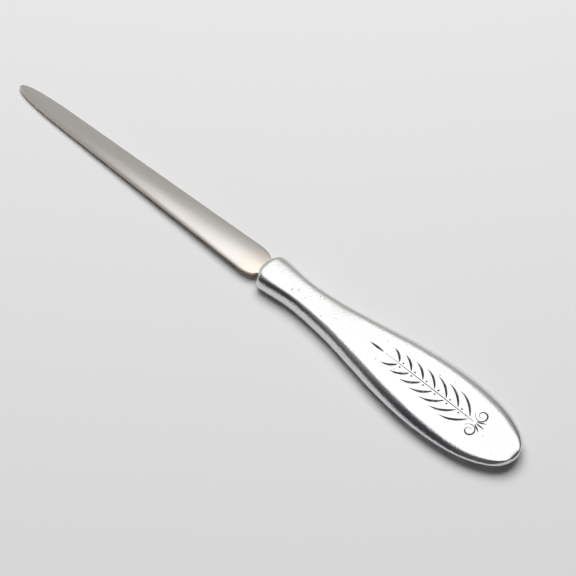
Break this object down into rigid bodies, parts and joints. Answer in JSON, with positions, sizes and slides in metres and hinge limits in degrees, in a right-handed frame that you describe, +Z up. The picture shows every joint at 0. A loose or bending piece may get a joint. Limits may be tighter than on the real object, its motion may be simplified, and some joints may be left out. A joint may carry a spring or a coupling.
{
  "type": "letter opener",
  "caption": "Letter opener: slim satin steel blade with a rounded point, its tang bedded in a long pear-shaped cast pewter handle. It rests on the curved underside of the handle and on the blade's tip.",
  "frame": {"origin": "under the middle of the overall length, on the surface that the handle and the blade's tip rest on", "axes": "+X along the opener towards the blade's point, +Z up out of the surface, +Y across the opener"},
  "size_m": [0.21, 0.0252, 0.0068],
  "materials": {
    "satin_steel": "satin, very finely brushed along the blade",
    "cast_pewter": "polished casting with fine pits and handling marks",
    "cured_epoxy": "cured two-part epoxy"
  },
  "bodies": {
    "root": {"blade": "satin_steel", "handle": "cast_pewter", "tang_adhesive": "cured_epoxy"}
  },
  "joints": []
}
